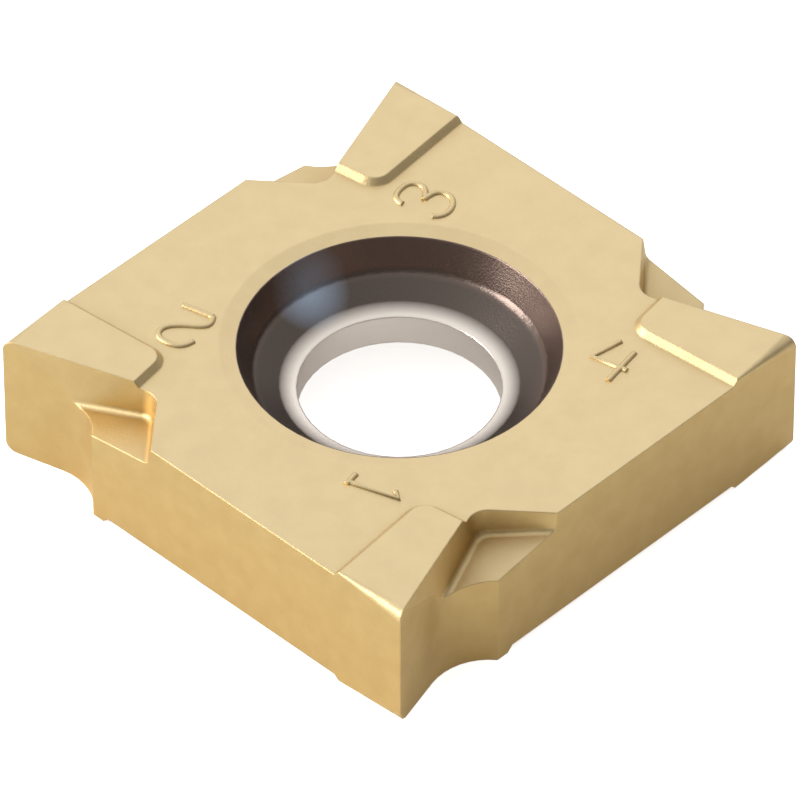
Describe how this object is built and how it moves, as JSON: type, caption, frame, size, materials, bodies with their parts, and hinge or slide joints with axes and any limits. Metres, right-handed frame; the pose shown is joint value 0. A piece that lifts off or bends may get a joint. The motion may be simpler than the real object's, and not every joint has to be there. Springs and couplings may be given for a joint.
{
  "type": "carbide insert",
  "caption": "Square indexable cutting insert with a cutting edge at each corner, round chip notches and a countersunk screw hole.",
  "frame": {"origin": "on the screw hole's axis, level with the undersides of the lower lands", "axes": "+Z along the hole axis towards the numbered face, X and Y square to the four sides"},
  "size_m": [0.011, 0.011, 0.0029],
  "materials": {
    "coated_carbide": "matt gold-coloured hard coating, bare dark carbide in the screw hole"
  },
  "bodies": {
    "root": {"insert_body": "coated_carbide"}
  },
  "joints": []
}
